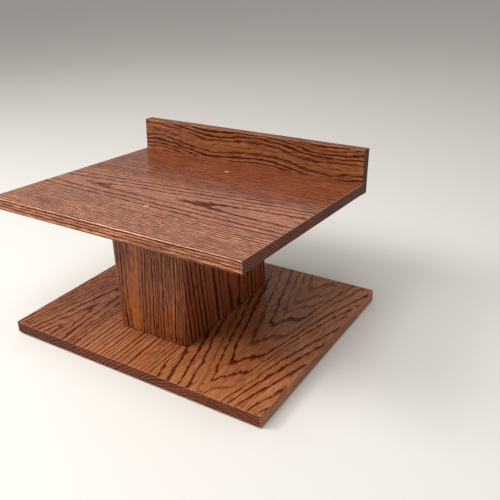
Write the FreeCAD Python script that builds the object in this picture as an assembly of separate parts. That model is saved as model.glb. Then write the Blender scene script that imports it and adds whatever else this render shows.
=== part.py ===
import FreeCAD
import Part
import math
import os

# Revolving oak display stand, millimetres.
# Frame: +Z up, origin on the floor under the middle of the base board.
# +X runs along the long front edge to the right, +Y runs back towards the lip.
# A hollow box pedestal turns on a ball swivel hidden in its foot.
# It carries a top that slopes down towards a stop lip at the back.

# ---------------------------------------------------------------- driving sizes
STOCK = 19.0                 # planed board thickness used everywhere
ARRIS = 1.0                  # sanded arris along the base's lower edge

BASE_WIDTH = 482.0           # along X
BASE_DEPTH = 394.0           # along Y
BASE_SEAMS = (-103.0, 52.0)  # X of the two glue lines between base boards
BASE_CORNER = 2.5            # softened vertical corners of the base
BASE_ROUND = 1.5             # round-over along the base's upper edge

PAD_DIAMETER = 28.0          # stick-on felt pads under the base
PAD_THICKNESS = 3.0
PAD_INSET = 32.0             # pad centre in from each edge

PIVOT_X = -10.0              # swivel axis, measured from the base's middle
PIVOT_Y = 6.0

PEDESTAL_WIDTH = 140.0       # along X
PEDESTAL_DEPTH = 244.0       # along Y
PEDESTAL_CORNER = 10.0       # round-over on the four upright corners
FOOT_GAP = 2.0               # shadow gap between pedestal and base

TOP_WIDTH = 458.0            # along X
TOP_DEPTH = 369.0            # along the slope, without the lip
TOP_FRONT = -202.0           # front edge, along the slope from the swivel axis
TOP_SEAMS = (-113.0, 3.0)    # glue lines, along the slope from the swivel axis
TOP_SLOPE = 3.35             # degrees down towards the back
TOP_HEIGHT = 234.0           # top face over the base's underside, at the axis
TOP_ROUND = 1.8              # round-over along the top's upper edge
TOP_UNDER_ROUND = 1.5        # and along its lower edge
TOP_CORNER = 3.0             # softened front corners of the top

LIP_RISE = 57.0              # lip above the top face
LIP_CORNER = 1.5             # eased upper edge of the lip

# ---------------------------------------------------------------- hardware sizes
PLATE_SIDE = 76.0            # square pressed-steel swivel plates
PLATE_CORNER = 6.0
SHEET = 1.2
SWIVEL_HEIGHT = 8.0          # outside face to outside face
RACE_INNER = 22.0            # pressed ring that holds the ball groove
RACE_OUTER = 30.0
RACE_HEIGHT = 3.0
BALL_CIRCLE = 26.0           # radius of the ring of balls
BALL_RADIUS = 2.0
BALL_CLEARANCE = 0.05
BALL_COUNT = 24
GROOVE_BACK = 0.75           # depth of the hollow pressed behind the groove
LIP_OUTER = 22.0             # inner lip of each plate, gripped by the eyelet
EYELET_INNER = 16.6
EYELET_OUTER = 17.8
EYELET_FLANGE = 20.5
EYELET_CLEARANCE = 0.4
EYELET_SHEET = 0.6           # rolled-over rim of the eyelet
EYELET_GAP = 0.3             # running gap under that rim
PLATE_HOLE_PITCH = 63.5      # screw holes on a square
PLATE_HOLE_DIAMETER = 4.6

SCREW_SHANK = 4.0
SCREW_CORE_CLEARANCE = 0.05
SCREW_HEAD = 8.0
SCREW_HEAD_HEIGHT = 2.2
SWIVEL_SCREW_LENGTH = 15.0
ACCESS_HOLE = 13.0           # driver hole under the base for the upper screws

TOP_SCREW_OFFSET = 108.0     # each side of the axis, along the slope
TOP_SCREW_LENGTH = 38.0
TOP_SCREW_HEAD = 8.4         # countersunk heads, a little below the face
TOP_SCREW_SUNK = 0.3
PAN_DOME = 0.6               # share of a pan head's height that is domed
PAN_FLAT = 0.62              # share of its radius that is flat on top
RECESS_REACH = 2.2           # cross-shaped driver recess: half its length,
RECESS_HALF = 0.55           # half its slot width
RECESS_DEPTH = 1.4
HOLE_RELIEF = 0.5            # each screw hole runs this much past the point

LIP_SCREW_COUNT = 4
LIP_SCREW_LENGTH = 42.0
LIP_SCREW_EDGE = 55.0        # first lip screw in from each end
LIP_PLUG_DIAMETER = 9.5
LIP_PLUG_DEPTH = 6.0
PLUG_END_GAP = 0.4           # between each plug and the screw under it

CLEAT_HEIGHT = 38.0          # battens behind the front and back boards
BLOCK_SIDE = 19.0            # corner glue blocks
BLOCK_CHAMFER = 7.0

# ---------------------------------------------------------------- derived places
FLOOR_BASE = PAD_THICKNESS
BASE_TOP = FLOOR_BASE + STOCK
PEDESTAL_FOOT = BASE_TOP + FOOT_GAP
FOOT_BOARD_Z = BASE_TOP + SWIVEL_HEIGHT
SLOPE = math.radians(TOP_SLOPE)
TOP_Z = FLOOR_BASE + TOP_HEIGHT
INNER_WIDTH = PEDESTAL_WIDTH - 2 * STOCK
INNER_DEPTH = PEDESTAL_DEPTH - 2 * STOCK
TOP_BACK = TOP_FRONT + TOP_DEPTH
CUT_MARGIN = 5.0             # how far a cutting block runs past what it cuts
NEAR = 0.01                  # tolerance when edges are picked by place
UP = FreeCAD.Vector(0, 0, 1)
ORIGIN = FreeCAD.Vector(0, 0, 0)
AXIS_POINT = FreeCAD.Vector(PIVOT_X, PIVOT_Y, 0)

parts = {}


# ---------------------------------------------------------------- small helpers
def box(x0, x1, y0, y1, z0, z1):
    corner = FreeCAD.Vector(x0, y0, z0)
    return Part.makeBox(x1 - x0, y1 - y0, z1 - z0, corner)


def rounded_plate(width, depth, corner, z0, z1):
    """Upright prism on a rectangle with rounded corners, centred on Z."""
    body = box(-width / 2, width / 2, -depth / 2, depth / 2, z0, z1)
    upright = [e for e in body.Edges if abs(e.tangentAt(e.FirstParameter).z) > 0.99]
    return body.makeFillet(corner, upright)


def at_pivot(shape):
    moved = shape.copy()
    moved.translate(AXIS_POINT)
    return moved


def on_slope(shape):
    """Place a shape drawn on the top's own plane onto the sloped top."""
    moved = shape.copy()
    moved.rotate(ORIGIN, FreeCAD.Vector(1, 0, 0), -TOP_SLOPE)
    moved.translate(FreeCAD.Vector(PIVOT_X, PIVOT_Y, TOP_Z))
    return moved


def edges_along(shape, axis, wanted):
    """Straight edges along an axis whose middle point passes a test."""
    found = []
    for edge in shape.Edges:
        if edge.Curve.TypeId != "Part::GeomLine":
            continue
        direction = edge.tangentAt(edge.FirstParameter)
        if abs(direction.dot(axis)) > 0.999 and wanted(edge.CenterOfMass):
            found.append(edge)
    return found


def turned(profile):
    """Solid turned about Z from (radius, height) points."""
    points = [FreeCAD.Vector(r, 0, z) for r, z in profile]
    wire = Part.makePolygon(points + points[:1])
    return Part.Face(wire).revolve(ORIGIN, UP, 360)


def pan_screw(length):
    """Pan-head wood screw, head seat at z = 0, shank pointing to -Z."""
    head_r = SCREW_HEAD / 2
    shoulder = SCREW_HEAD_HEIGHT * (1 - PAN_DOME)
    radius = SCREW_SHANK / 2
    point = SCREW_SHANK
    profile = [
        (0, -length),
        (radius, point - length),
        (radius, 0),
        (head_r, 0),
        (head_r, shoulder),
        (head_r * PAN_FLAT, SCREW_HEAD_HEIGHT),
        (0, SCREW_HEAD_HEIGHT),
    ]
    return turned(profile).cut(cross_recess(SCREW_HEAD_HEIGHT))


def flat_screw(length, head, sunk):
    """Countersunk wood screw under a face at z = 0, shank pointing to -Z."""
    radius = SCREW_SHANK / 2
    cone = head / 2 - radius
    profile = [
        (0, -length),
        (radius, SCREW_SHANK - length),
        (radius, -sunk - cone),
        (head / 2, -sunk),
        (0, -sunk),
    ]
    return turned(profile).cut(cross_recess(-sunk))


def cross_recess(top):
    """Cross-shaped driver recess, open at height top."""
    low = top - RECESS_DEPTH
    high = top + RECESS_DEPTH
    one = box(-RECESS_REACH, RECESS_REACH, -RECESS_HALF, RECESS_HALF, low, high)
    other = box(-RECESS_HALF, RECESS_HALF, -RECESS_REACH, RECESS_REACH, low, high)
    return one.fuse(other)


def screw_hole(length):
    """Clearance for a screw's shank below a seat at z = 0."""
    radius = SCREW_SHANK / 2 + SCREW_CORE_CLEARANCE
    deep = length + HOLE_RELIEF
    return Part.makeCylinder(radius, deep, FreeCAD.Vector(0, 0, -deep))


def sink_hole(length, head, sunk):
    """Shank clearance with a matching countersink below a face at z = 0."""
    clear = SCREW_CORE_CLEARANCE
    radius = SCREW_SHANK / 2 + clear
    rim = head / 2 + clear
    cone = rim - radius
    profile = [
        (0, -length - HOLE_RELIEF),
        (radius, -length - HOLE_RELIEF),
        (radius, -sunk - cone),
        (rim, -sunk),
        (rim, HOLE_RELIEF),
        (0, HOLE_RELIEF),
    ]
    return turned(profile)


def square_pattern(half):
    return [(x, y) for x in (-half, half) for y in (-half, half)]


def moved_to(shape, x, y, z):
    copy = shape.copy()
    copy.translate(FreeCAD.Vector(x, y, z))
    return copy


# ---------------------------------------------------------------- base
def swivel_screw_places():
    return square_pattern(PLATE_HOLE_PITCH / 2)


def base_panel():
    panel = rounded_plate(BASE_WIDTH, BASE_DEPTH, BASE_CORNER, FLOOR_BASE, BASE_TOP)
    rim = []
    for edge in panel.Edges:
        if abs(edge.CenterOfMass.z - BASE_TOP) < NEAR:
            rim.append(edge)
    panel = panel.makeFillet(BASE_ROUND, rim)
    under = []
    for edge in panel.Edges:
        if abs(edge.CenterOfMass.z - FLOOR_BASE) < NEAR:
            under.append(edge)
    panel = panel.makeChamfer(ARRIS, under)
    for x, y in swivel_screw_places():
        seat = BASE_TOP + SHEET
        hole = screw_hole(SWIVEL_SCREW_LENGTH)
        panel = panel.cut(moved_to(hole, PIVOT_X + x, PIVOT_Y + y, seat))
    reach = math.hypot(PLATE_HOLE_PITCH / 2, PLATE_HOLE_PITCH / 2)
    access_at = FreeCAD.Vector(PIVOT_X, PIVOT_Y - reach, FLOOR_BASE)
    return panel.cut(Part.makeCylinder(ACCESS_HOLE / 2, STOCK, access_at))


def make_base():
    panel = base_panel()
    half_x = BASE_WIDTH / 2
    half_y = BASE_DEPTH / 2
    cuts = (-half_x - CUT_MARGIN,) + BASE_SEAMS + (half_x + CUT_MARGIN,)
    names = ("base_board_left", "base_board_middle", "base_board_right")
    for name, x0, x1 in zip(names, cuts, cuts[1:]):
        slab = box(x0, x1, -half_y - CUT_MARGIN, half_y + CUT_MARGIN, 0, BASE_TOP + CUT_MARGIN)
        parts[name] = panel.common(slab)
    pads = []
    for sx in (-1, 1):
        for sy in (-1, 1):
            where = FreeCAD.Vector(sx * (half_x - PAD_INSET), sy * (half_y - PAD_INSET), 0)
            pads.append(Part.makeCylinder(PAD_DIAMETER / 2, PAD_THICKNESS, where))
    parts["felt_pads"] = Part.makeCompound(pads)


# ---------------------------------------------------------------- ball swivel
def race_plate(lip_inner):
    """Pressed plate lying on z = 0, with its ball race standing up."""
    plate = rounded_plate(PLATE_SIDE, PLATE_SIDE, PLATE_CORNER, 0, SHEET)
    plate = plate.cut(Part.makeCylinder(RACE_INNER, SHEET))
    race = turned([
        (RACE_INNER, 0),
        (RACE_OUTER, 0),
        (RACE_OUTER, RACE_HEIGHT),
        (RACE_INNER, RACE_HEIGHT),
    ])
    inner_lip = turned([
        (lip_inner, SHEET),
        (LIP_OUTER, SHEET),
        (LIP_OUTER, 2 * SHEET),
        (lip_inner, 2 * SHEET),
    ])
    plate = plate.fuse(race).fuse(inner_lip).removeSplitter()
    groove = Part.makeTorus(BALL_CIRCLE, BALL_RADIUS + BALL_CLEARANCE)
    groove.translate(FreeCAD.Vector(0, 0, SWIVEL_HEIGHT / 2))
    plate = plate.cut(groove)
    hollow = turned([
        (BALL_CIRCLE - BALL_RADIUS, 0),
        (BALL_CIRCLE + BALL_RADIUS, 0),
        (BALL_CIRCLE + BALL_RADIUS, GROOVE_BACK),
        (BALL_CIRCLE - BALL_RADIUS, GROOVE_BACK),
    ])
    plate = plate.cut(hollow)
    for x, y in swivel_screw_places():
        hole = Part.makeCylinder(PLATE_HOLE_DIAMETER / 2, SHEET, FreeCAD.Vector(x, y, 0))
        plate = plate.cut(hole)
    return plate


def turned_over(shape):
    """Mirror image about the swivel's middle plane."""
    return shape.mirror(FreeCAD.Vector(0, 0, SWIVEL_HEIGHT / 2), UP)


def make_swivel():
    lower = race_plate(EYELET_OUTER)
    upper = turned_over(race_plate(EYELET_OUTER + EYELET_CLEARANCE))
    rim_low = SWIVEL_HEIGHT - SHEET + EYELET_GAP
    rim_high = rim_low + EYELET_SHEET
    eyelet = turned([
        (EYELET_INNER, 0),
        (EYELET_FLANGE, 0),
        (EYELET_FLANGE, SHEET),
        (EYELET_OUTER, SHEET),
        (EYELET_OUTER, rim_low),
        (EYELET_FLANGE, rim_low),
        (EYELET_FLANGE, rim_high),
        (EYELET_INNER, rim_high),
    ])
    balls = []
    for index in range(BALL_COUNT):
        angle = 2 * math.pi * index / BALL_COUNT
        x = BALL_CIRCLE * math.cos(angle)
        y = BALL_CIRCLE * math.sin(angle)
        ball = Part.makeSphere(BALL_RADIUS, FreeCAD.Vector(x, y, SWIVEL_HEIGHT / 2))
        balls.append(ball)
    low_screws = []
    high_screws = []
    for x, y in swivel_screw_places():
        low = pan_screw(SWIVEL_SCREW_LENGTH)
        low_screws.append(moved_to(low, x, y, SHEET))
        high = pan_screw(SWIVEL_SCREW_LENGTH)
        high.rotate(ORIGIN, FreeCAD.Vector(1, 0, 0), 180)
        high_screws.append(moved_to(high, x, y, SWIVEL_HEIGHT - SHEET))
    swivel = {
        "swivel_lower_plate": lower,
        "swivel_upper_plate": upper,
        "swivel_eyelet": eyelet,
        "swivel_balls": Part.makeCompound(balls),
        "swivel_lower_screws": Part.makeCompound(low_screws),
        "swivel_upper_screws": Part.makeCompound(high_screws),
    }
    for name, shape in swivel.items():
        parts[name] = moved_to(shape, PIVOT_X, PIVOT_Y, BASE_TOP)


# ---------------------------------------------------------------- pedestal
def under_top():
    """Everything below the underside of the sloped top."""
    block = box(-TOP_WIDTH, TOP_WIDTH, -TOP_WIDTH, TOP_WIDTH, -TOP_WIDTH, -STOCK)
    return on_slope(block)


def top_screw_cutters():
    cutter = sink_hole(TOP_SCREW_LENGTH, TOP_SCREW_HEAD, TOP_SCREW_SUNK)
    places = (-TOP_SCREW_OFFSET, TOP_SCREW_OFFSET)
    return [on_slope(moved_to(cutter, 0, y, 0)) for y in places]


def mitre_prism(angle):
    """Quarter of the plan that belongs to the board facing one way."""
    outer_x = PEDESTAL_WIDTH / 2
    outer_y = PEDESTAL_DEPTH / 2
    inner_x = INNER_WIDTH / 2
    inner_y = INNER_DEPTH / 2
    if angle in (0, 180):
        plan = [(-outer_x, -outer_y), (outer_x, -outer_y), (inner_x, -inner_y), (-inner_x, -inner_y)]
    else:
        plan = [(outer_x, -outer_y), (outer_x, outer_y), (inner_x, inner_y), (inner_x, -inner_y)]
    points = [FreeCAD.Vector(x, y, PEDESTAL_FOOT) for x, y in plan]
    face = Part.Face(Part.makePolygon(points + points[:1]))
    prism = face.extrude(FreeCAD.Vector(0, 0, TOP_Z))
    if angle in (180, 270):
        prism.rotate(ORIGIN, UP, 180)
    return prism


def make_pedestal():
    below = under_top()
    cutters = top_screw_cutters()
    envelope = rounded_plate(PEDESTAL_WIDTH, PEDESTAL_DEPTH, PEDESTAL_CORNER, PEDESTAL_FOOT, TOP_Z)
    boards = (("pedestal_front", 0), ("pedestal_right", 90), ("pedestal_back", 180), ("pedestal_left", 270))
    for name, angle in boards:
        board = at_pivot(mitre_prism(angle).common(envelope)).common(below)
        for cutter in cutters:
            board = board.cut(cutter)
        parts[name] = board

    half_x = INNER_WIDTH / 2
    half_y = INNER_DEPTH / 2
    foot = box(-half_x, half_x, -half_y, half_y, FOOT_BOARD_Z, FOOT_BOARD_Z + STOCK)
    for x, y in swivel_screw_places():
        hole = screw_hole(SWIVEL_SCREW_LENGTH)
        hole.rotate(ORIGIN, FreeCAD.Vector(1, 0, 0), 180)
        foot = foot.cut(moved_to(hole, x, y, FOOT_BOARD_Z - SHEET))
    parts["pedestal_foot_board"] = at_pivot(foot)

    block_z = FOOT_BOARD_Z + STOCK
    for side, sx in (("left", -1), ("right", 1)):
        for end, sy in (("front", -1), ("back", 1)):
            parts["corner_block_" + end + "_" + side] = corner_block(sx, sy, block_z, below)
    for end, sy in (("front", -1), ("back", 1)):
        parts["top_cleat_" + end] = top_cleat(sy, below)


def corner_block(sx, sy, block_z, below):
    """Upright glue block in one inside corner, its free corner planed off."""
    x0 = sx * INNER_WIDTH / 2
    y0 = sy * INNER_DEPTH / 2
    x1 = x0 - sx * BLOCK_SIDE
    y1 = y0 - sy * BLOCK_SIDE
    plan = [
        (x0, y0),
        (x1, y0),
        (x1, y1 + sy * BLOCK_CHAMFER),
        (x1 + sx * BLOCK_CHAMFER, y1),
        (x0, y1),
    ]
    points = [FreeCAD.Vector(x, y, block_z) for x, y in plan]
    face = Part.Face(Part.makePolygon(points + points[:1]))
    block = face.extrude(FreeCAD.Vector(0, 0, TOP_Z))
    return at_pivot(block).common(below)


def top_cleat(sy, below):
    """Batten inside an end board, where the top is screwed down."""
    half_x = INNER_WIDTH / 2 - BLOCK_SIDE
    outer = sy * INNER_DEPTH / 2
    inner = outer - sy * STOCK
    drop = math.tan(SLOPE) * (outer + inner) / 2
    under = TOP_Z - STOCK / math.cos(SLOPE) - drop
    low = under - CLEAT_HEIGHT
    cleat = box(-half_x, half_x, min(outer, inner), max(outer, inner), low, TOP_Z + STOCK)
    return at_pivot(cleat).common(below)


# ---------------------------------------------------------------- top and lip
def lip_screw_places():
    first = -TOP_WIDTH / 2 + LIP_SCREW_EDGE
    step = (TOP_WIDTH - 2 * LIP_SCREW_EDGE) / (LIP_SCREW_COUNT - 1)
    return [first + step * index for index in range(LIP_SCREW_COUNT)]


def laid_forward(shape, x):
    """Turn a screw drawn point-down so that it runs forward from the lip."""
    turned_shape = shape.copy()
    turned_shape.rotate(ORIGIN, FreeCAD.Vector(1, 0, 0), -90)
    return moved_to(turned_shape, x, TOP_BACK + STOCK, -STOCK / 2)


def top_panel():
    half = TOP_WIDTH / 2
    panel = box(-half, half, TOP_FRONT, TOP_BACK, -STOCK, 0)
    front = edges_along(panel, UP, lambda c: c.y < TOP_FRONT + NEAR)
    panel = panel.makeFillet(TOP_CORNER, front)
    ahead = [e for e in panel.Edges if e.CenterOfMass.y < TOP_BACK - NEAR]
    nose = [e for e in ahead if abs(e.CenterOfMass.z) < NEAR]
    panel = panel.makeFillet(TOP_ROUND, nose)
    ahead = [e for e in panel.Edges if e.CenterOfMass.y < TOP_BACK - NEAR]
    under = [e for e in ahead if abs(e.CenterOfMass.z + STOCK) < NEAR]
    return panel.makeFillet(TOP_UNDER_ROUND, under)


def make_top():
    half = TOP_WIDTH / 2
    panel = on_slope(top_panel())
    for cutter in top_screw_cutters():
        panel = panel.cut(cutter)
    lip_hole = sink_hole(LIP_SCREW_LENGTH, TOP_SCREW_HEAD, LIP_PLUG_DEPTH)
    for x in lip_screw_places():
        panel = panel.cut(on_slope(laid_forward(lip_hole, x)))
    cuts = (TOP_FRONT - CUT_MARGIN,) + TOP_SEAMS + (TOP_BACK + CUT_MARGIN,)
    names = ("top_board_front", "top_board_middle", "top_board_back")
    for name, y0, y1 in zip(names, cuts, cuts[1:]):
        slab = on_slope(box(-half - CUT_MARGIN, half + CUT_MARGIN, y0, y1, -2 * STOCK, STOCK))
        parts[name] = panel.common(slab)

    screw = flat_screw(TOP_SCREW_LENGTH, TOP_SCREW_HEAD, TOP_SCREW_SUNK)
    places = (-TOP_SCREW_OFFSET, TOP_SCREW_OFFSET)
    top_screws = [on_slope(moved_to(screw, 0, y, 0)) for y in places]
    parts["top_screws"] = Part.makeCompound(top_screws)


def make_lip():
    half = TOP_WIDTH / 2
    lip = box(-half, half, TOP_BACK, TOP_BACK + STOCK, -STOCK, LIP_RISE)
    upper = [e for e in lip.Edges if abs(e.CenterOfMass.z - LIP_RISE) < NEAR]
    lip = lip.makeFillet(LIP_CORNER, upper)
    hole = sink_hole(LIP_SCREW_LENGTH, TOP_SCREW_HEAD, LIP_PLUG_DEPTH)
    bore = Part.makeCylinder(LIP_PLUG_DIAMETER / 2, LIP_PLUG_DEPTH, FreeCAD.Vector(0, 0, -LIP_PLUG_DEPTH))
    plug_length = LIP_PLUG_DEPTH - PLUG_END_GAP
    plug = Part.makeCylinder(LIP_PLUG_DIAMETER / 2, plug_length, FreeCAD.Vector(0, 0, -plug_length))
    screw = flat_screw(LIP_SCREW_LENGTH, TOP_SCREW_HEAD, LIP_PLUG_DEPTH)
    screws = []
    plugs = []
    for x in lip_screw_places():
        lip = lip.cut(laid_forward(hole, x)).cut(laid_forward(bore, x))
        screws.append(on_slope(laid_forward(screw, x)))
        plugs.append(on_slope(laid_forward(plug, x)))
    parts["back_lip"] = on_slope(lip)
    parts["lip_screws"] = Part.makeCompound(screws)
    parts["lip_plugs"] = Part.makeCompound(plugs)


# ---------------------------------------------------------------- build and write
make_base()
make_swivel()
make_pedestal()
make_top()
make_lip()

os.makedirs("parts", exist_ok=True)
for node, shape in parts.items():
    solids = shape.Solids
    sound = all(solid.isValid() for solid in solids)
    print(node, "solids", len(solids), "volume", round(shape.Volume), "sound", sound)
    shape.exportStep("parts/" + node + ".step")
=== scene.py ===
# %% [markdown]
# # A revolving oak display stand, finished for its portrait
# The stand's boards, screws and swivel arrive as a fixed frame of exact parts. Nothing in it is
# moved or reshaped here. What is left to do is the craft of looks: oak with real growth rings in
# every board, a clear coat over the stain, pressed felt under the base, steel in the swivel,
# and soft light that shows them.

# %% Load the frame
import math
import random

import bpy
from mathutils import Matrix, Vector


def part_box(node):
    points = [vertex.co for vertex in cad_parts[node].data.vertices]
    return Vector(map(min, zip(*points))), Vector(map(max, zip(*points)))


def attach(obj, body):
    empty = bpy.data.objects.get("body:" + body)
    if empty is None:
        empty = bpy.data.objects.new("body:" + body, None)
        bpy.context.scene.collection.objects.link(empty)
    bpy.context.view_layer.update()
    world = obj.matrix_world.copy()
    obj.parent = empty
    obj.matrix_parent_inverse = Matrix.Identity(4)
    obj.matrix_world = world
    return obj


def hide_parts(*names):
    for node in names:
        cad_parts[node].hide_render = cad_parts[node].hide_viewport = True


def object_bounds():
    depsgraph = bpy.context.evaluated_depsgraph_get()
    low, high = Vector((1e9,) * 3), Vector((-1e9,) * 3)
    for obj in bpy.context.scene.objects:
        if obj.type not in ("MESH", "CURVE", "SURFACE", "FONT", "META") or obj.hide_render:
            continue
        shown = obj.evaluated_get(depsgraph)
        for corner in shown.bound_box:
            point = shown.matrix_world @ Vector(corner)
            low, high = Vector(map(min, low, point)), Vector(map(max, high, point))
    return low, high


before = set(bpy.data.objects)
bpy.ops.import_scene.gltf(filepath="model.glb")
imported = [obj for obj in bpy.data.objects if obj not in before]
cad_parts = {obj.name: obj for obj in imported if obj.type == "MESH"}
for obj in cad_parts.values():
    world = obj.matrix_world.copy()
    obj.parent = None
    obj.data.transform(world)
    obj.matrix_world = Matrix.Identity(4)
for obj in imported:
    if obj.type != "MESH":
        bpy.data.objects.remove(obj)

cad_box = [list(corner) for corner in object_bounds()]
print("nodes", len(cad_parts))

# %% [markdown]
# ## A small language for materials
# A procedural material is a graph of nodes, and most of them do sums. Written out one node at a
# time, a growth ring would take pages. So one small class wraps a number that travels through
# the graph: adding or multiplying it in Python adds the Math node that does the same. Every
# other node comes from one method, which sets a node's options first and its sockets after.

# %% Signals and recipes
class Signal:
    """One number or vector on its way through a material."""

    def __init__(self, recipe, socket):
        self.recipe = recipe
        self.socket = socket

    def sum_node(self, operation, *items):
        inputs = dict(enumerate(items))
        return self.recipe.node("ShaderNodeMath", {"operation": operation}, inputs)

    def __add__(self, other):
        return self.sum_node("ADD", self, other)

    def __radd__(self, other):
        return self.sum_node("ADD", other, self)

    def __sub__(self, other):
        return self.sum_node("SUBTRACT", self, other)

    def __rsub__(self, other):
        return self.sum_node("SUBTRACT", other, self)

    def __mul__(self, other):
        return self.sum_node("MULTIPLY", self, other)

    def __rmul__(self, other):
        return self.sum_node("MULTIPLY", other, self)

    def __truediv__(self, other):
        return self.sum_node("DIVIDE", self, other)

    def __rtruediv__(self, other):
        return self.sum_node("DIVIDE", other, self)

    def __neg__(self):
        return self.sum_node("MULTIPLY", self, -1.0)

    def exponent(self):
        return self.sum_node("EXPONENT", self)

    def root(self):
        return self.sum_node("SQRT", self)

    def floor(self):
        return self.sum_node("FLOOR", self)

    def fraction(self):
        return self.sum_node("FRACT", self)

    def wave(self):
        return self.sum_node("SINE", self)

    def lower_of(self, other):
        return self.sum_node("MINIMUM", self, other)


class Recipe:
    """A new material and the nodes that are added to it."""

    def __init__(self, name):
        self.material = bpy.data.materials.new(name)
        self.material.use_nodes = True
        self.tree = self.material.node_tree
        self.surface = self.tree.nodes["Principled BSDF"]

    def node(self, kind, settings, inputs, output=0):
        """Add a node: its type, its settings, what its sockets get and which output to use."""
        node = self.tree.nodes.new(kind)
        for name, value in settings.items():
            if name == "stops":
                self.set_stops(node.color_ramp, value)
            else:
                setattr(node, name, value)
        for key, value in inputs.items():
            self.plug(value, node.inputs[key])
        return Signal(self, node.outputs[output])

    def set_stops(self, ramp, stops):
        while len(ramp.elements) < len(stops):
            ramp.elements.new(0.5)
        for element, (place, level) in zip(ramp.elements, stops):
            element.position = place
            element.color = (level, level, level, 1.0)

    def plug(self, value, socket):
        if isinstance(value, Signal):
            self.tree.links.new(value.socket, socket)
        else:
            socket.default_value = value

    def finish(self, **sockets):
        """Set or link the sockets of the surface, named with _ for a space."""
        for name, value in sockets.items():
            self.plug(value, self.surface.inputs[name.replace("_", " ")])
        return self.material

    def split(self, vector):
        return [self.node("ShaderNodeSeparateXYZ", {}, {0: vector}, axis) for axis in range(3)]

    def join(self, x, y, z):
        return self.node("ShaderNodeCombineXYZ", {}, {0: x, 1: y, 2: z})

    def ramp(self, factor, stops):
        return self.node("ShaderNodeValToRGB", {"stops": stops}, {0: factor})

    def blend(self, factor, first, second):
        """Colour between two colours."""
        inputs = {0: factor, 6: first, 7: second}
        return self.node("ShaderNodeMix", {"data_type": "RGBA"}, inputs, 2)

    def times(self, colour, other):
        """One colour multiplied by another."""
        settings = {"data_type": "RGBA", "blend_type": "MULTIPLY"}
        return self.node("ShaderNodeMix", settings, {0: 1.0, 6: colour, 7: other}, 2)

    def noise(self, place, lengths, detail=2.0, roughness=0.5):
        """Soft noise from 0 to 1 whose lumps measure about the three lengths."""
        steps = tuple(1.0 / length for length in lengths)
        fine = self.node("ShaderNodeVectorMath", {"operation": "MULTIPLY"}, {0: place, 1: steps})
        inputs = {"Vector": fine, "Scale": 1.0, "Detail": detail, "Roughness": roughness}
        return self.node("ShaderNodeTexNoise", {}, inputs)

    def along_axis(self, vector, axis):
        """How far a vector points along an axis."""
        settings = {"operation": "DOT_PRODUCT"}
        return self.node("ShaderNodeVectorMath", settings, {0: vector, 1: axis}, 1)

    def bump(self, height, distance, strength):
        inputs = {"Height": height, "Distance": distance, "Strength": strength}
        return self.node("ShaderNodeBump", {}, inputs)


def srgb(red, green, blue):
    """A colour given as 0 to 255 values, made linear as the shader needs it."""
    linear = []
    for level in (red, green, blue):
        share = level / 255
        linear.append(share / 12.92 if share <= 0.04045 else ((share + 0.055) / 1.055) ** 2.4)
    return (*linear, 1.0)


print("stain test colour", [round(v, 3) for v in srgb(148, 89, 59)])

# %% [markdown]
# ## Where each board's own axes lie
# Oak's figure only makes sense in a board's own axes: along the grain, across the width, and
# outwards through the face that is seen. The Mapping node in its TEXTURE mode does the opposite
# of a placement, so it turns a point of the stand into millimetres in that board's axes. The
# top and its lip slope back by a few degrees, which is read off the top's widest facet, so
# their axes are turned by the same angle. Turning the boards themselves would be simpler, but
# the exact parts have to stay where they are.

# %% Board axes
MM = 0.001
swivel_low, swivel_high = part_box("swivel_lower_plate")
AXIS = (swivel_low + swivel_high) / 2
BASE_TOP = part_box("base_board_middle")[1].z
LIP_REACH = 0.167       # from the swivel's axis to the lip's face, along the slope
UPWARD = 0.9            # a facet faces up when its normal's height is more than this


def widest_upward_facet(node):
    """How steeply a board's top face slopes, and a point on it."""
    facets = [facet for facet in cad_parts[node].data.polygons if facet.normal.z > UPWARD]
    widest = max(facets, key=lambda facet: facet.area)
    return math.atan2(widest.normal.y, widest.normal.z), widest.center.copy()


SLOPE, on_top = widest_upward_facet("top_board_back")
TOP_Z = on_top.z + math.tan(SLOPE) * (on_top.y - AXIS.y)
TOP_POINT = Vector((AXIS.x, AXIS.y, TOP_Z))
TURN_TOP = Matrix.Rotation(-SLOPE, 3, "X")
LEFT, RIGHT = Vector((-1, 0, 0)), Vector((1, 0, 0))
FRONT, BACK = Vector((0, -1, 0)), Vector((0, 1, 0))
DOWN, UP = Vector((0, 0, -1)), Vector((0, 0, 1))


def axes(along, out):
    """Euler angles of the frame whose X runs along the grain and whose Z faces out."""
    across = out.cross(along)
    return Matrix((along, across, out)).transposed().to_euler()


print("slope", round(math.degrees(SLOPE), 2), "degrees; top at", round(TOP_Z / MM, 1), "mm")

# %% [markdown]
# ## How a ring meets a board
# A tree adds one shell of wood a year. A flat-sawn board cuts through those shells at a grazing
# angle, so each shows as a tall pointed arch; a rift-sawn board cuts them steeply and shows
# straight lines. Both come out of one sum: the count of rings between a point and the pith.
# The count rises through the thickness, and a fold across the width makes the arches. Because
# the count is worked out in all three directions, the face, the long edge and the end of a
# board agree where they meet, as sawn wood does. A Wave texture could draw bands with less
# work, but it doesn't know where the pith is, so it gives neither arches nor matching ends.

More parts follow.
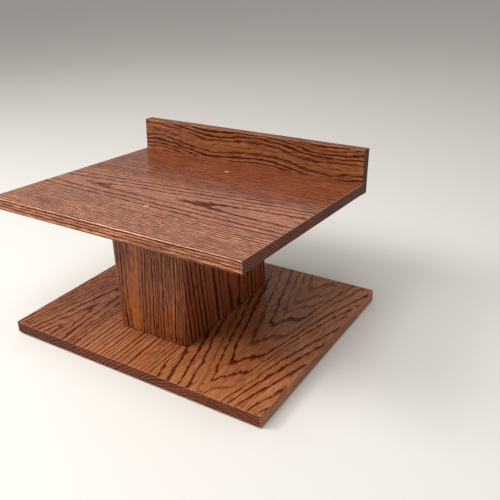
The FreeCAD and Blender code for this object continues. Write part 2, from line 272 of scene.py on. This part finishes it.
# %% Counting the rings
PLAIN_FIGURE = {
    "start": 0.0,       # rings already grown at the middle of the face
    "along": 0.0,       # rings per millimetre along the grain
    "across": 0.0,      # rings per millimetre across the width
    "deep": 0.2,        # rings per millimetre outwards through the face
    "centre": 0.0,      # middle line of the arches
    "fold": 0.0,        # rings per millimetre away from that line
    "soft": 10.0,       # how round the arches' points are
    "drift": 0.0,       # how the grain runs off line along the board
    "shelf": (0.0, 20.0, 0.0),   # place, half-width and height of a dip beside the arches
    "sway": (0.0, 200.0, 0.0),   # height, length and start of one slow bend along the board
    "calm": (0.0, 20.0, 0.0, 0.0),   # place, half-width, strength and lightness of a plain strip
    "wobble": 0.35,     # uneven growth, in rings
    "wobble_size": (90.0, 30.0, 60.0),   # its lumps, in millimetres
    "teeth": 0.5,       # ragged edges of the rings, in rings
    "band": 0.3,        # share of a ring that is open pores
    "seed": 0.0,        # one number for each tree
}
TEETH_SIZE = (26.0, 6.0, 10.0)
GOOD_YEARS = 1.2            # rings that fat and lean years push to and fro
YEARS_SIZE = (2.3, 1.0, 1.0)


def ring_count(recipe, place, figure):
    """Rings from the pith to each point, with the unevenness of real growth."""
    along, across, deep = recipe.split(place)
    height, length, start = figure["sway"]
    bend = ((along + start) * (2 * math.pi / length)).wave() * height
    flow = across - bend - along * figure["drift"]
    middle = flow - figure["centre"]
    soft = figure["soft"]
    arch = ((middle * middle + soft * soft).root() - soft) * figure["fold"]
    at, half, dip = figure["shelf"]
    beside = (across - at) / half
    shelf = (-(beside * beside)).exponent() * dip
    count = along * figure["along"] + flow * figure["across"] + deep * figure["deep"]
    count = count + arch + shelf + figure["start"]
    seeded = recipe.join(along + figure["seed"], across + figure["seed"] * 0.7, deep)
    slow = recipe.noise(seeded, figure["wobble_size"], 1.0)
    quick = recipe.noise(seeded, TEETH_SIZE, 3.0, 0.6)
    count = count + (slow - 0.5) * (2 * figure["wobble"]) + (quick - 0.5) * figure["teeth"]
    years = recipe.noise(recipe.join(count, figure["seed"], 0.5), YEARS_SIZE, 0.0)
    return count + (years - 0.5) * GOOD_YEARS, seeded, flow


print("a figure has", len(PLAIN_FIGURE), "settings")

# %% [markdown]
# ## Oak under stain
# Red oak's early wood is a band of open pores, and stain settles in them, so every ring starts
# with a dark edge that fades into smooth, golden late wood. Seen closer, that band is made of
# short dashes: pores cut lengthwise on a face, and dots on an end. Rays add fine dark ticks.
# Ends drink more stain and turn dark. A rounded arris is painted pale: partly sanding wear,
# partly a painted highlight for the varnish catching the light along the edge. All of this is
# a handful of stretched noises, and masks made from the way the surface faces. A clear coat on
# top stands for the varnish. It is thickest on the flat face, and it sinks into the pores, so
# they stay dull. One function makes every board, because boards differ only in their figure
# and in how much stain they took.

# %% The oak material
# A pale pink for the arrises: sanding wear and a painted highlight.
ARRIS_WEAR_AND_HIGHLIGHT = srgb(230, 186, 160)
PORE_BAND = ((0.0, 0.0), (0.1, 1.0), (0.5, 0.8), (0.75, 0.3), (1.0, 0.0))
PORE_SIZE = (13.0, 1.1, 1.1)        # millimetres along the grain, across it and inwards
CLUMP_SIZE = (20.0, 1.7, 1.7)
STREAK_SIZE = (60.0, 1.5, 1.5)
RAY_SIZE = (16.0, 0.9, 3.0)
CLOUD_SIZE = (160.0, 45.0, 45.0)
STAIN = {
    "light": srgb(216, 144, 94),      # late wood at its palest
    "body": srgb(143, 76, 41),        # late wood at its darkest
    "dark": srgb(82, 24, 7),          # stain in the pores
    "end": (0.47, 0.32, 0.26, 1.0),   # what end grain does to the colour
    "contrast": 1.0,                  # how strongly pores and bands darken the wood
    "gloss": 0.2,                     # how much varnish lies on the flat face
    "wear_and_highlight": 0.24,                   # how pale the arrises are painted: sanding wear and a painted highlight
}


def oak(name, along, out, at, figure, stain=None, bare=False):
    """Stained and varnished oak, or bare sanded oak, for one board."""
    recipe = Recipe(name)
    figure = {**PLAIN_FIGURE, **figure}
    stain = {**STAIN, **(stain or {})}
    source = recipe.node("ShaderNodeTexCoord", {}, {}, "Object")
    facing = recipe.node("ShaderNodeTexCoord", {}, {}, "Normal")
    placing = {"Location": at, "Rotation": axes(along, out), "Scale": (MM, MM, MM)}
    inputs = {"Vector": source, **placing}
    place = recipe.node("ShaderNodeMapping", {"vector_type": "TEXTURE"}, inputs)
    count, seeded, flow = ring_count(recipe, place, figure)

    year = count.floor()
    odd = recipe.node("ShaderNodeTexWhiteNoise", {"noise_dimensions": "1D"}, {"W": year})
    plain_at, plain_half, plain, pale = figure["calm"]
    beside = (flow - plain_at) / plain_half
    calm = (-(beside * beside)).exponent()
    band = recipe.ramp(count.fraction() / figure["band"], PORE_BAND) * (odd * 0.75 + 0.4)
    band = band * (1.0 - calm * plain)

    dashes = recipe.noise(seeded, PORE_SIZE, 2.0, 0.6)
    pores = recipe.ramp(dashes, ((0.0, 1.0), (0.42, 0.9), (0.54, 0.0), (1.0, 0.0)))
    clumps = recipe.noise(seeded, CLUMP_SIZE, 3.0, 0.65)
    clumps = recipe.ramp(clumps, ((0.0, 1.0), (0.38, 0.8), (0.58, 0.0), (1.0, 0.0)))
    streaks = recipe.noise(seeded, STREAK_SIZE, 3.0, 0.65)
    ticks = recipe.noise(seeded, RAY_SIZE, 1.0)
    rays = recipe.ramp(ticks, ((0.0, 0.0), (0.66, 0.0), (0.74, 1.0), (1.0, 1.0)))
    cloud = recipe.noise(seeded, CLOUD_SIZE, 2.0)

    turned = [recipe.along_axis(facing, axis) for axis in (along, out.cross(along), out)]
    squares = [part * part for part in turned]
    end = recipe.ramp(squares[0], ((0.0, 0.0), (0.2, 0.0), (0.64, 1.0), (1.0, 1.0)))
    flat = squares[0] * squares[0] + squares[1] * squares[1] + squares[2] * squares[2]
    arris = recipe.ramp(1.0 - flat, ((0.0, 0.0), (0.1, 0.1), (0.4, 1.0), (1.0, 1.0)))
    dark = band * (1.05 + clumps * 0.3 + end * 0.6) + pores * 0.38 + clumps * 0.24 + rays * 0.1
    dark = (dark * stain["contrast"]).lower_of(1.0)
    tone = cloud * 0.6 + streaks * 3.4 + calm * pale - 1.5
    late = recipe.blend(tone, stain["body"], stain["light"])
    colour = recipe.blend(dark, late, stain["dark"])

    colour = recipe.blend(end, colour, recipe.times(colour, stain["end"]))
    # Painted highlight along the rounded arrises, mixed with sanding wear: the arrises are painted
    # pale.
    wear_and_highlight = arris * (clumps * 0.5 + cloud) * (1.0 - dark * 0.4) * stain["wear_and_highlight"]
    colour = recipe.blend(wear_and_highlight, colour, ARRIS_WEAR_AND_HIGHLIGHT)

    varnish = (1.0 - dark * 0.95) * (1.0 - end * 0.8) * (squares[2] * 0.7 + 0.3) * stain["gloss"]
    rough = 0.34 + band * 0.08 + pores * 0.1 + end * 0.12
    height = 1.0 - pores * band * 0.8 - pores * 0.2 + streaks * 0.15
    return recipe.finish(
        Base_Color=colour,
        Roughness=rough + 0.25 if bare else rough,
        Normal=recipe.bump(height, 0.00025, 0.5),
        Specular_IOR_Level=0.3 if bare else 0.15,
        Coat_Weight=0.0 if bare else varnish,
        Coat_Roughness=0.15,
        Coat_IOR=1.6,
    )


def dress(node, material):
    """Put one material into every slot of a node."""
    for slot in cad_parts[node].material_slots:
        slot.material = material
    print(node, "wears", material.name)


# %% [markdown]
# ## The base: three boards, three figures
# The right board is flat-sawn from the side of the log: bold arches point to the front, with a
# small step on their right flank. The middle board is rift-sawn and nearly straight. The left
# one was laid the other way up and the other way round, so its arches point to the back. One
# figure across all three would be quicker, but the glue lines only show because the boards on
# either side of them don't match.

# %% Base boards
base_face = (0.0, 0.0, BASE_TOP)
dress("base_board_right", oak("oak_base_right", FRONT, UP, base_face, {
    "along": 0.02,
    "deep": 0.2,
    "centre": 141.0,
    "fold": 0.064,
    "soft": 6.0,
    "shelf": (176.0, 15.0, -0.95),
    "wobble": 0.32,
    "wobble_size": (95.0, 34.0, 60.0),
    "teeth": 0.85,
    "band": 0.36,
    "seed": 12.0,
}))
dress("base_board_middle", oak("oak_base_middle", FRONT, UP, base_face, {
    "along": 0.003,
    "across": -0.11,
    "deep": 0.15,
    "wobble": 0.75,
    "wobble_size": (260.0, 60.0, 60.0),
    "band": 0.4,
    "seed": 57.0,
}))
# The left board's stain is set darker than its neighbours' as painted shade, to hold down the
# stronger side light that falls on the stand's left.
dress("base_board_left", oak("oak_base_left", FRONT, UP, base_face, {
    "start": 0.1,
    "along": -0.012,
    "deep": -0.18,
    "centre": -156.0,
    "fold": 0.12,
    "soft": 20.0,
    "drift": -0.06,
    "wobble": 0.5,
    "teeth": 0.8,
    "band": 0.42,
    "seed": 91.0,
}, {"light": srgb(204, 138, 92), "body": srgb(134, 70, 40), "contrast": 1.5}))

# %% [markdown]
# ## The top: fine lines either side of one long flame
# The grain runs the long way. The middle board shows a single flame, pointing left, that opens
# out to the right; the boards in front of it and behind it are closer to rift-sawn. All three
# share one varnish, and the back board is stained a little darker than the front one.

# %% Top boards
# The top's arrises get the strongest painted highlight.
TOP_STAIN = {"light": srgb(216, 136, 88), "body": srgb(134, 70, 40), "dark": srgb(78, 27, 12),
             "contrast": 1.5, "gloss": 1.0, "wear_and_highlight": 0.6}
dress("top_board_middle", oak("oak_top_middle", RIGHT, TURN_TOP @ UP, TOP_POINT, {
    "start": 0.34,
    "along": -0.0056,
    "deep": -0.24,
    "centre": -58.0,
    "fold": 0.1,
    "soft": 24.0,
    "drift": 0.03,
    "wobble": 0.35,
    "wobble_size": (200.0, 30.0, 40.0),
    "teeth": 0.7,
    "band": 0.35,
    "seed": 23.0,
}, TOP_STAIN))
dress("top_board_front", oak("oak_top_front", RIGHT, TURN_TOP @ UP, TOP_POINT, {
    "across": -0.18,
    "deep": -0.22,
    "wobble": 0.6,
    "wobble_size": (320.0, 40.0, 40.0),
    "teeth": 0.7,
    "band": 0.5,
    "seed": 41.0,
}, {**TOP_STAIN, "light": srgb(232, 158, 112), "body": srgb(156, 90, 58)}))
dress("top_board_back", oak("oak_top_back", RIGHT, TURN_TOP @ UP, TOP_POINT, {
    "along": -0.002,
    "across": 0.1,
    "deep": -0.2,
    "calm": (140.0, 55.0, 0.75, -0.2),
    "wobble": 0.5,
    "wobble_size": (320.0, 50.0, 40.0),
    "teeth": 0.7,
    "band": 0.4,
    "seed": 77.0,
}, {**TOP_STAIN, "light": srgb(196, 118, 74), "body": srgb(120, 60, 34)}))

# %% [markdown]
# ## The stop lip
# Its face is flat-sawn too, but narrow, so the arches show as long dark waves that run from end
# to end. Noise alone would bend each line by itself. One slow sway along the board carries them
# all up and down together, as a bent trunk does. The plugs behind it hide its screws. They are
# cut from other wood and set with their grain a little off line, so each still reads as a small
# disc.

# %% Lip and plugs
LIP_STAIN = {"light": srgb(190, 122, 74), "body": srgb(118, 60, 30), "dark": srgb(70, 22, 8),
             "contrast": 1.25}
lip_foot = TOP_POINT + TURN_TOP @ Vector((0, LIP_REACH, 0))
lip_oak = oak("oak_stop_lip", RIGHT, TURN_TOP @ FRONT, lip_foot, {
    "start": 0.62,
    "along": 0.0006,
    "deep": -0.16,
    "centre": 27.0,
    "fold": 0.15,
    "soft": 9.0,
    "sway": (5.5, 230.0, 21.0),
    "drift": -0.035,
    "wobble": 0.6,
    "wobble_size": (90.0, 16.0, 30.0),
    "teeth": 0.9,
    "band": 0.55,
    "seed": 47.0,
}, LIP_STAIN)
dress("back_lip", lip_oak)
PLUG_STAIN = {"light": srgb(132, 74, 42), "body": srgb(88, 42, 22), "dark": srgb(46, 13, 4)}
plug_grain = (TURN_TOP @ Vector((0.9, 0.0, 0.44))).normalized()
dress("lip_plugs", oak("oak_lip_plugs", plug_grain, TURN_TOP @ BACK, lip_foot, {
    "across": 0.3,
    "deep": 0.1,
    "band": 0.5,
    "seed": 71.0,
}, PLUG_STAIN))

# %% [markdown]
# ## The pedestal
# Four upright boards. The front one has a plain golden band with lines that crowd together to
# its right. It could be two figures side by side, but a strip where the bands are turned down
# does the same with one. The side ones are darker, with wide smoky streaks, and share a figure,
# since nobody sees both at once. Inside are bare sanded blocks, battens and the foot board that
# the swivel is screwed to.

# %% Pedestal boards and the wood inside
DEEP_STAIN = {"light": srgb(196, 106, 62), "body": srgb(130, 58, 32), "dark": srgb(40, 10, 4),
              "wear_and_highlight": 0.06}
WARM_STAIN = {"light": srgb(200, 116, 64), "body": srgb(106, 46, 22), "dark": srgb(46, 12, 4),
              "contrast": 1.1, "gloss": 0.15, "wear_and_highlight": 0.06}
front_face = (0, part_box("pedestal_front")[0].y, 0)
back_face = (0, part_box("pedestal_back")[1].y, 0)
right_face = (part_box("pedestal_right")[1].x, 0, 0)
left_face = (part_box("pedestal_left")[0].x, 0, 0)
dress("pedestal_front", oak("oak_pedestal_front", DOWN, FRONT, front_face, {
    "start": 0.5,
    "along": 0.004,
    "deep": -0.12,
    "centre": -46.0,
    "fold": 0.19,
    "soft": 16.0,
    "drift": -0.04,
    "calm": (-44.0, 11.0, 0.85, 0.6),
    "wobble": 0.75,
    "wobble_size": (170.0, 16.0, 20.0),
    "teeth": 0.8,
    "band": 0.42,
    "seed": 64.0,
}, WARM_STAIN))
side_figure = {
    "along": 0.003,
    "deep": -0.14,
    "centre": 24.0,
    "fold": 0.1,
    "soft": 26.0,
    "drift": 0.05,
    "wobble": 0.45,
    "wobble_size": (200.0, 26.0, 20.0),
    "band": 0.45,
    "seed": 18.0,
}
left_figure = {**side_figure, "seed": 108.0, "centre": 10.0}
dress("pedestal_right", oak("oak_pedestal_right", DOWN, RIGHT, right_face, side_figure, DEEP_STAIN))
dress("pedestal_left", oak("oak_pedestal_left", DOWN, LEFT, left_face, left_figure, DEEP_STAIN))
dress("pedestal_back", oak("oak_pedestal_back", DOWN, BACK, back_face, {
    "along": 0.004,
    "deep": 0.18,
    "centre": 20.0,
    "fold": 0.14,
    "soft": 12.0,
    "wobble": 0.4,
    "seed": 140.0,
}, WARM_STAIN))

RAW = {"light": srgb(214, 176, 134), "body": srgb(190, 146, 104), "dark": srgb(140, 98, 62),
       "end": (0.75, 0.7, 0.66, 1.0), "contrast": 0.7}
raw_figure = {"across": 0.2, "deep": 0.15, "wobble": 0.4}
anywhere = (0, 0, 0)
raw_upright = oak("oak_raw_upright", DOWN, FRONT, anywhere, raw_figure, RAW, bare=True)
raw_lying = oak("oak_raw_lying", RIGHT, UP, anywhere, raw_figure, RAW, bare=True)
for end in ("front", "back"):
    dress("top_cleat_" + end, raw_lying)
    for side in ("left", "right"):
        dress("corner_block_" + end + "_" + side, raw_upright)
dress("pedestal_foot_board", raw_lying)

# %% [markdown]
# ## Steel in the swivel and in the screws
# The swivel's plates are pressed from zinc-plated sheet: grey, a little blue, with the soft
# spangle of plating. The balls are polished. The two screws in the top have pale plated heads
# dulled by varnish. Metal looks flat without uneven gloss, so a noise varies the roughness.

# %% Metals
SPANGLE = (0.0016, 0.0016, 0.0016)
WEAR = (0.012, 0.012, 0.012)
DULLED = 0.72


def steel(name, shade, rough, spread, metallic=1.0):
    """Plated or polished metal with uneven gloss."""
    recipe = Recipe(name)
    source = recipe.node("ShaderNodeTexCoord", {}, {}, "Object")
    fine = recipe.noise(source, SPANGLE, 4.0, 0.6)
    broad = recipe.noise(source, WEAR, 2.0)
    worn = fine * 0.5 + broad * 0.5
    darker = tuple(level * DULLED for level in shade[:3]) + (1.0,)
    return recipe.finish(
        Base_Color=recipe.blend(worn, darker, shade),
        Metallic=metallic,
        Roughness=(worn - 0.5) * spread + rough,
        Normal=recipe.bump(fine, 0.00005, 0.15),
    )


zinc = steel("zinc_plated_steel", srgb(186, 190, 194), 0.36, 0.3)
for node in ("swivel_lower_plate", "swivel_upper_plate", "swivel_eyelet",
             "swivel_lower_screws", "swivel_upper_screws", "lip_screws"):
    dress(node, zinc)
dress("swivel_balls", steel("polished_ball_steel", srgb(214, 216, 220), 0.1, 0.08))
dress("top_screws", steel("pale_plated_screws", srgb(226, 208, 168), 0.42, 0.2, 0.35))

# %% [markdown]
# ## Felt pads under the base
# A pad is punched out of pressed felt. A plain disc could stand for it, but a sharp rim would
# catch the light as plastic does. Under the stand's weight its rim rounds over and swells a
# little, nowhere quite the same. One is modelled from a cylinder: the rim is bevelled in edit
# mode, its flat faces are divided into rings by insets, and the points round the rim are pushed
# in or out by a hair. The finished pad is then copied to the four corners, each copy with its
# own mesh.

# %% One pad, four corners
pad_low, pad_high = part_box("felt_pads")
PAD_RADIUS = 0.014
PAD_HEIGHT = pad_high.z - pad_low.z
SHRINK = 0.0003         # so that the swollen rim stays inside the pad's true radius
ROUNDING = 0.0008       # of the rim
INSET_STEP = 0.0026     # between the rings of faces on each flat side
INSET_COUNT = 4
RIM_FROM = 0.0115       # the rim starts this far from the middle
RIM_MARGIN = 0.0005     # and stays this far from the flat sides
SWELL = (-0.006, 0.012)     # least and most that a point of the rim moves outwards, as a share
LEVEL = 0.999           # a face lies flat when its normal's height is more than this


def choose_faces(mesh_object, wanted):
    """Select the faces of an object whose polygon passes a test."""
    for face in mesh_object.data.polygons:
        face.select = wanted(face)


def make_pad():
    """One pad, standing on the origin."""
    bpy.ops.object.select_all(action="DESELECT")
    bpy.ops.mesh.primitive_cylinder_add(vertices=56, radius=PAD_RADIUS - SHRINK,
                                        depth=PAD_HEIGHT, location=(0, 0, PAD_HEIGHT / 2))
    pad = bpy.context.object
    pad.name = "pad"
    bpy.ops.object.transform_apply(location=True, rotation=True, scale=True)
    bpy.ops.object.mode_set(mode="EDIT")
    bpy.ops.mesh.select_mode(type="FACE")
    bpy.ops.mesh.select_all(action="DESELECT")
    bpy.ops.object.mode_set(mode="OBJECT")
    choose_faces(pad, lambda face: abs(face.normal.z) > UPWARD)
    bpy.ops.object.mode_set(mode="EDIT")
    bpy.ops.mesh.bevel(offset=ROUNDING, segments=3, profile=0.6, affect="EDGES")
    bpy.ops.object.mode_set(mode="OBJECT")
    choose_faces(pad, lambda face: abs(face.normal.z) > LEVEL)
    bpy.ops.object.mode_set(mode="EDIT")
    for step in range(INSET_COUNT):
        bpy.ops.mesh.inset(thickness=INSET_STEP)
    bpy.ops.object.mode_set(mode="OBJECT")
    chance = random.Random(7)
    for vertex in pad.data.vertices:
        reach = math.hypot(vertex.co.x, vertex.co.y)
        if reach > RIM_FROM and RIM_MARGIN < vertex.co.z < PAD_HEIGHT - RIM_MARGIN:
            swell = 1 + chance.uniform(*SWELL)
            vertex.co.x *= swell
            vertex.co.y *= swell
    bpy.ops.object.shade_smooth_by_angle(angle=math.radians(40))
    return pad


FIBRE_SIZE = (0.0006, 0.0006, 0.0006)
PATCH_SIZE = (0.006, 0.006, 0.006)


def felt():
    """Pressed wool felt: matt, flecked, with a bump of tangled fibres."""
    recipe = Recipe("pressed_felt")
    source = recipe.node("ShaderNodeTexCoord", {}, {}, "Object")
    fibres = recipe.noise(source, FIBRE_SIZE, 5.0, 0.7)
    patches = recipe.noise(source, PATCH_SIZE, 3.0)
    colour = recipe.blend(fibres * 0.7 + patches * 0.3, srgb(58, 44, 36), srgb(96, 78, 64))
    return recipe.finish(
        Base_Color=colour,
        Roughness=0.95,
        Sheen_Weight=0.4,
        Sheen_Roughness=0.6,
        Normal=recipe.bump(fibres, 0.0004, 0.8),
    )


felt_material = felt()
first_pad = make_pad()
pad_count = 0
for x in (pad_low.x + PAD_RADIUS, pad_high.x - PAD_RADIUS):
    for y in (pad_low.y + PAD_RADIUS, pad_high.y - PAD_RADIUS):
        pad = first_pad.copy()
        pad.data = first_pad.data.copy()
        pad.name = "felt_pad_" + str(pad_count + 1)
        bpy.context.scene.collection.objects.link(pad)
        pad.data.transform(Matrix.Translation((x, y, pad_low.z)))
        pad.data.materials.clear()
        pad.data.materials.append(felt_material)
        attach(pad, "base")
        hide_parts("felt_pads")
        pad_count += 1
bpy.data.objects.remove(first_pad)
print("pads", pad_count, "each", round(PAD_HEIGHT / MM, 1), "mm thick")

# %% [markdown]
# ## The floor
# The stand is shown on a plain pale floor, level with the undersides of its pads. A curved
# backdrop would hide the horizon from one side only. A wide flat plane does for every side.

# %% Floor
bpy.ops.object.select_all(action="DESELECT")
bpy.ops.mesh.primitive_plane_add(size=30, location=(0, 0, cad_box[0][2]))
floor = bpy.context.object
floor.name = "floor"
floor_recipe = Recipe("pale_floor")
floor.data.materials.append(floor_recipe.finish(Base_Color=srgb(232, 230, 226), Roughness=0.85))
print("floor at", round(floor.location.z, 4))

# %% [markdown]
# ## The light
# Three soft lights do the modelling: one in front, one overhead and a stronger one to the front
# left. A wide, faint panel behind lays a veil of gloss over the varnished top, and the pale
# world fills what is left. One bare lamp would be enough to see by, but it would burn a small
# hard spot into the varnish, so all four are panels.

# %% Lights
def softbox(name, place, aim, width, height, power, colour):
    """A rectangular light at a place, turned towards a point."""
    light = bpy.data.lights.new(name, "AREA")
    light.shape = "RECTANGLE"
    light.size = width
    light.size_y = height
    light.energy = power
    light.color = colour
    lamp = bpy.data.objects.new(name, light)
    lamp.location = place
    lamp.rotation_euler = (Vector(aim) - Vector(place)).to_track_quat("-Z", "Y").to_euler()
    bpy.context.scene.collection.objects.link(lamp)
    print(name, power, "W")


middle = (0.0, 0.0, 0.12)
softbox("key_light", (-0.5, -1.25, 2.0), middle, 1.0, 1.0, 12, (1.0, 0.97, 0.93))
softbox("overhead_panel", (0.1, -0.5, 2.2), middle, 1.6, 1.6, 22, (1.0, 0.98, 0.95))
softbox("side_light", (-1.4, -1.05, 1.7), middle, 1.0, 0.7, 28, (1.0, 0.98, 0.95))
softbox("veil_panel", (-1.35, 1.6, 1.4), (0, 0, 0.25), 2.2, 1.1, 1.3, (1.0, 0.97, 0.94))
world = bpy.data.worlds.new("studio")
world.use_nodes = True
world.node_tree.nodes["Background"].inputs["Color"].default_value = (1.0, 0.97, 0.93, 1.0)
world.node_tree.nodes["Background"].inputs["Strength"].default_value = 0.36
bpy.context.scene.world = world
bpy.context.scene.view_settings.view_transform = "Standard"

# %% [markdown]
# ## The camera
# The camera stands to the front right, well above the top, and looks down over its nearest
# corner. A long lens from far off would draw the boards' edges parallel. This one, from about a
# metre, lets them run together as they do to the eye. The angles are degrees.

# %% Camera
lens = bpy.data.cameras.new("camera")
lens.sensor_width = 36.0
lens.lens = 46.51
lens.clip_start = 0.01
camera = bpy.data.objects.new("camera", lens)
tilt, roll, heading = 64.137, 1.463, 31.811
camera.location = (0.599, -0.773, 0.5984)
camera.rotation_euler = [math.radians(angle) for angle in (tilt, roll, heading)]
bpy.context.scene.collection.objects.link(camera)
bpy.context.scene.camera = camera
print("camera at", [round(v, 3) for v in camera.location], "lens", lens.lens)

# %% [markdown]
# ## Sizes, and the finished scene
# The new pads must not make the stand any bigger than the exact parts. The box that was measured
# first, round the exact parts, is printed.

# %% Sizes and finish
print("cad box", cad_box)
